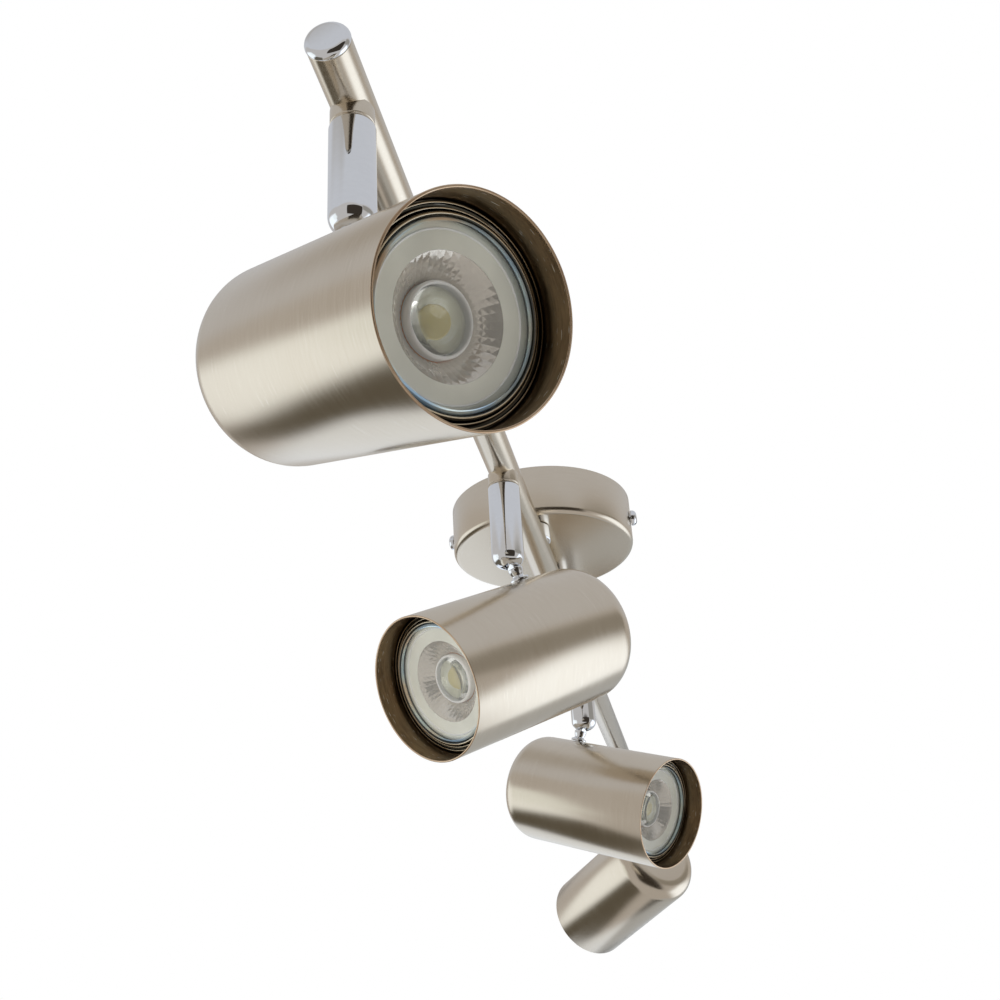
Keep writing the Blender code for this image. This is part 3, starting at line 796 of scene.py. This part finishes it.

# %% [markdown]
# ## Lamp fronts
# Seen in the mouth of a shell is a reflector lamp held by a blackened ring whose beads carry a
# gold painted highlight. The lamp's front is a clear cover over a frosted disc. In the middle of
# the disc a faceted bowl leads down to a white collar and a domed lens over the yellow light chip.
# Most of these pieces are moulded plastic with a clear coat. The cover is a faint sheet let through
# by its alpha, because refracting glass would shade everything under it. Only the dome is real
# refracting plastic.

# %% Finishes of the lamp


def coated(name, colour, roughness, coat, clear=0.0, ior=1.5, patch=0.12, tooth=0.0):
    """Moulded plastic or glass with faint cloudiness in colour and roughness."""
    material, shader = plain_material(name, colour, roughness)
    tree = material.node_tree
    wear = node(tree, "ShaderNodeGroup", node_tree=WORN)
    place = node(tree, "ShaderNodeTexCoord").outputs["Object"]
    tree.links.new(place, wear.inputs["Vector"])
    darker = tuple(part * (1 - patch) for part in colour)
    patches = ease(tree, wear.outputs["Patches"], 0.35, 0.65)
    base = blend_colours(tree, patches, (*darker, 1), (*colour, 1))
    tree.links.new(base, shader.inputs["Base Color"])
    spread = {"Value": wear.outputs["Patches"], "From Min": 0.35, "From Max": 0.65,
              "To Min": roughness, "To Max": roughness * 1.35}
    tree.links.new(node(tree, "ShaderNodeMapRange", spread).outputs[0],
                   shader.inputs["Roughness"])
    if tooth:
        bump = node(tree, "ShaderNodeBump", {"Height": wear.outputs["Fine"],
                                             "Distance": tooth * MM})
        tree.links.new(bump.outputs[0], shader.inputs["Normal"])
    shader.inputs["Coat Weight"].default_value = coat
    shader.inputs["Coat Roughness"].default_value = 0.04
    shader.inputs["Transmission Weight"].default_value = clear
    shader.inputs["IOR"].default_value = ior
    return material, shader


def rainbow_edge():
    """The cover's ground edge splits light into blue and amber round the lamp."""
    material, shader = plain_material("cover_edge_prism", (0.5, 0.6, 0.65), 0.12)
    tree = material.node_tree
    turning = node(tree, "ShaderNodeAttribute", attribute_name="turning").outputs["Vector"]
    hues = node(tree, "ShaderNodeTexNoise", {"Vector": turning, "Scale": 55.0, "Detail": 1.0})
    ramp = node(tree, "ShaderNodeValToRGB", {0: hues.outputs[0]})
    stops = ramp.color_ramp.elements
    stops[0].position = 0.36
    stops[0].color = (0.95, 0.78, 0.58, 1)
    stops[1].position = 0.66
    stops[1].color = (0.42, 0.66, 0.92, 1)
    middle = stops.new(0.5)
    middle.color = (0.82, 0.95, 0.93, 1)
    tree.links.new(ramp.outputs[0], shader.inputs["Base Color"])
    shader.inputs["Metallic"].default_value = 0.55
    shader.inputs["Coat Weight"].default_value = 1.0
    return material


COVER_CLEAR, cover_shader = coated("cover_clear", (0.80, 0.84, 0.82), 0.03, 1.0, patch=0.05)
cover_shader.inputs["Alpha"].default_value = 0.10
COVER_EDGE = rainbow_edge()
FROSTED = coated("optic_frosted", (0.80, 0.785, 0.67), 0.42, 0.5, tooth=0.01)[0]
BEAD_BRIGHT = coated("optic_bead", (0.86, 0.85, 0.82), 0.12, 1.0)[0]
FACET_MIRROR, facet_shader = coated("optic_facets", (0.80, 0.74, 0.64), 0.13, 1.0, patch=0.15)
facet_shader.inputs["Metallic"].default_value = 0.6
LENS_CLEAR = coated("dome_clear", (0.93, 0.94, 0.88), 0.0, 0.0, clear=1.0, ior=1.49, patch=0.03)[0]
COLLAR_WHITE = coated("optic_collar", (0.96, 0.95, 0.92), 0.08, 1.0, patch=0.06)[0]
AMBER = coated("optic_amber_line", (0.72, 0.27, 0.06), 0.20, 0.8)[0]
CHIP = coated("light_chip", (0.62, 0.50, 0.17), 0.35, 0.5)[0]
CHIP_BOARD = coated("chip_board", (0.66, 0.63, 0.52), 0.35, 0.4)[0]
HOUSING = coated("lamp_housing", (0.80, 0.79, 0.76), 0.32, 0.3, tooth=0.02)[0]
LAMP_RIM = coated("lamp_rim_dark", (0.055, 0.05, 0.035), 0.22, 0.6, patch=0.4)[0]
PIN_METAL, pin_shader = coated("lamp_pins", (0.66, 0.66, 0.64), 0.25, 0.0, patch=0.2)
pin_shader.inputs["Metallic"].default_value = 1.0
print("lamp finishes made")

# %% [markdown]
# ## Ring and lamp body
# The ring is blackened metal, and the tops of its two beads carry a gold painted highlight. The
# body is one turned shape from the rim in the mouth to the base, where two pins go into the
# lampholder, and the rim's narrow top carries the same painted highlight. All the lamp's heights
# are measured from its face, so one matrix places every piece.

# %% Retaining ring and lamp body
LAMP_FACE = 63.0
LAMP_LENGTH = 46.0
ON_FACE = ALONG_BEAM @ Matrix.Translation((0, 0, LAMP_FACE * MM))


def retaining_ring():
    """Blackened ring whose two bead tops carry a gold painted highlight. Heights here are measured from
    the lamp's face.
    """
    top = -1.0
    low = top - 0.8
    shape = lathe([(27.9, top - 5), (27.9, low), (27.45, low), (27.3, top, 0.08),
                   (27.0, top, 0.08), (26.85, low), (26.1, low - 0.3), (25.95, top - 0.1, 0.08),
                   (25.65, top - 0.1, 0.08), (25.45, low), (25.3, top - 5)], steps=144)
    # The bead tops take the gold painted highlight.
    paint(shape, 1, lambda centre, normal: centre.z > top - 0.14 and normal.z > 0.5)
    smooth(shape)
    return shape


def lamp_body():
    """Rim, tapered housing and two pins."""
    base = -LAMP_LENGTH
    shape = lathe([(0, -10.0), (14.0, -10.0), (17.5, -4.6), (23.95, -4.6), (23.95, -0.5, 0.1),
                   (24.25, -0.1, 0.06), (24.55, -0.1, 0.06), (25.0, -0.6, 0.15),
                   (25.0, -6.0, 0.5), (23.0, -11.0), (17.0, -26.0, 3.0), (11.5, -34.0, 1.5),
                   (9.0, -38.0, 1.0), (9.0, base, 0.6), (0, base)], steps=96)
    paint(shape, 1, lambda centre, normal: centre.z > -5.5)
    # The rim's narrow top takes the gold painted highlight.
    paint(shape, 3, lambda centre, normal: centre.z > -0.16 and normal.z > 0.6)
    pins = []
    for side in (-5.0, 5.0):
        pin = lathe([(0, base - 5.4), (2.3, base - 5.4, 0.4), (2.3, base - 3.9, 0.2),
                     (1.3, base - 3.6), (1.3, base + 1), (0, base + 1)], steps=24)
        paint(pin, 2, lambda centre, normal: True)
        bmesh.ops.translate(pin, verts=pin.verts, vec=(0, side * MM, 0))
        pins.append(pin)
    shape = gathered(shape, *pins)
    smooth(shape)
    return shape


print("lamp face", LAMP_FACE, "mm ahead of the neck")

# %% [markdown]
# ## Disc and faceted bowl
# The facets are modelled: each small face of the bowl is poked up to a low pyramid, so it
# sparkles from every side as moulded plastic does. A bump would go flat at grazing angles.

# %% Frosted disc and faceted bowl


def optic_disc():
    """Frosted disc with a thin bright bead near its edge."""
    shape = lathe([(16.2, -2.7), (16.2, -4.3), (23.6, -4.3), (23.6, -2.7, 0.2), (21.6, -2.6),
                   (21.45, -2.3, 0.1), (21.1, -2.3, 0.1), (20.95, -2.6), (17.0, -2.7, 0.3)],
                  steps=128)
    paint(shape, 1, lambda centre, normal: centre.z > -2.5)
    smooth(shape)
    return shape


BOWL_ROWS = 5
BOWL_RIBS = 44
BOWL_TOP = (16.2, -2.8)
BOWL_FALL = (6.4, 6.2)


def facet_bowl():
    """Ribbed bowl: rows of small faces from the disc down to the collar, each one poked."""
    shape = bmesh.new()
    points = []
    for row in range(BOWL_ROWS + 1):
        share = row / BOWL_ROWS
        radius = BOWL_TOP[0] - BOWL_FALL[0] * share
        height = BOWL_TOP[1] - BOWL_FALL[1] * share ** 1.25
        points.append(shape.verts.new((radius * MM, 0, height * MM)))
    for pair in zip(points, points[1:]):
        shape.edges.new(pair)
    shape = spun(shape, BOWL_RIBS)
    if shape.faces[:][0].normal.z < 0:
        bmesh.ops.reverse_faces(shape, faces=shape.faces)
    bmesh.ops.poke(shape, faces=shape.faces, offset=0.06 * MM, center_mode="MEAN_WEIGHTED")
    return shape


print("bowl facets", BOWL_ROWS * BOWL_RIBS)

# %% [markdown]
# ## Collar, chip, dome and cover
# These are the smallest turned pieces. The collar's foot is painted amber, the chip sits on its
# board inside it, and the dome stands over both. The cover closes the lamp's front.

# %% Collar, chip, dome and cover


def optic_collar():
    """White wall round the dome, with the amber line where the chip's light creeps up it."""
    shape = lathe([(8.7, -9.8), (9.8, -9.8), (9.8, -8.65), (9.75, -6.4, 0.25),
                   (9.1, -5.7, 0.25), (8.7, -6.2, 0.2)], steps=96)
    paint(shape, 1, lambda centre, normal: centre.z < -8.65 and centre.xy.length > 9.5)
    smooth(shape, math.radians(50))
    return shape


def chip_seat():
    """Small board under the dome with the round yellow chip on it."""
    shape = lathe([(0, -9.65), (3.6, -9.65, 0.15), (3.7, -9.85), (8.65, -9.85, 0.2),
                   (8.65, -10.2), (0, -10.2)], steps=64)
    paint(shape, 1, lambda centre, normal: centre.xy.length > 3.62 or normal.z < 0)
    smooth(shape)
    return shape


def dome_lens():
    """A plano-convex lens just above the chip."""
    shape = lathe([(0, -9.4), (8.5, -9.4, 0.15), (8.5, -8.0, 0.4), (6.8, -5.6, 2.2),
                   (3.4, -4.6, 2.0), (0, -4.3)], steps=96)
    smooth(shape, math.radians(50))
    return shape


def cover():
    """Thin clear disc over the whole front, with a broad ground edge."""
    shape = lathe([(0, -2.0), (23.7, -2.0, 0.15), (23.7, 0, 1.15), (0, 0)], steps=144)
    paint(shape, 1, lambda centre, normal: centre.xy.length > 22.56)
    smooth(shape)
    return shape

# %% Put the lamp fronts together
LAMP_PARTS = (
    ("retaining_ring", "ring", retaining_ring, "dark_ring", [RING_DARK, RING_EDGE_HIGHLIGHT]),
    ("lamp_body", "body", lamp_body, "white_plastic", [HOUSING, LAMP_RIM, PIN_METAL, RING_EDGE_HIGHLIGHT]),
    ("lamp_lens", "cover", cover, "lamp_glass", [COVER_CLEAR, COVER_EDGE]),
    ("", "optic_disc", optic_disc, "lamp_glass", [FROSTED, BEAD_BRIGHT]),
    ("", "facet_bowl", facet_bowl, "lamp_glass", [FACET_MIRROR]),
    ("", "optic_collar", optic_collar, "lamp_glass", [COLLAR_WHITE, AMBER]),
    ("", "chip_seat", chip_seat, "lamp_glass", [CHIP, CHIP_BOARD]),
    ("", "dome_lens", dome_lens, "lamp_glass", [LENS_CLEAR]),
)
front_pieces = []
for number in LAMPS:
    for cad_name, name, make, slot, finishes in LAMP_PARTS:
        stands_for = [f"{cad_name}_{number}"] if cad_name else []
        front_pieces.append(hand_over(f"spot_{name}_{number}", make(),
                                      LAMP_FRAMES[number] @ ON_FACE, f"lamp_{number}",
                                      finishes, stands_for))
report("lamp fronts", front_pieces)

# %% [markdown]
# ## Fixings inside the rose and the shells
# The bracket, the terminal block, the studs and nuts, the swivel spigots, the hinge pins and the
# lampholders have the right shape already, so the model's own meshes stay. They only need better
# finishes: zinc plating with a blotchy tone, brass, moulded plastic and glazed ceramic. These
# meshes carry no lathe coordinates, so their noise reads Object coordinates.

# %% Finishes for the pieces that stay


def plated(name, colour, roughness):
    """Blotchy plating with a fine tooth."""
    material, shader = coated(name, colour, roughness, 0.0, patch=0.22, tooth=0.004)
    shader.inputs["Metallic"].default_value = 1.0
    return material


STAYING = {
    "zinc_steel": plated("zinc_plated", (0.60, 0.60, 0.58), 0.34),
    "brass_contact": plated("brass_screw", (0.74, 0.56, 0.26), 0.26),
    "white_plastic": coated("terminal_plastic", (0.80, 0.79, 0.75), 0.42, 0.2, tooth=0.01)[0],
    "ceramic": coated("holder_ceramic", (0.84, 0.82, 0.75), 0.24, 0.7, patch=0.08)[0],
}
KINDS = {"terminal_block": "white_plastic", "earth_screw": "brass_contact",
         "lampholder": "ceramic"}
shown = 0
for name, part in frame["nodes"].items():
    if part.hide_render:
        continue
    kind = KINDS.get(name.rstrip("_1234"), "zinc_steel")
    for material_slot in part.material_slots:
        material_slot.material = STAYING[kind]
    shown += 1
print("model pieces that stay", shown)
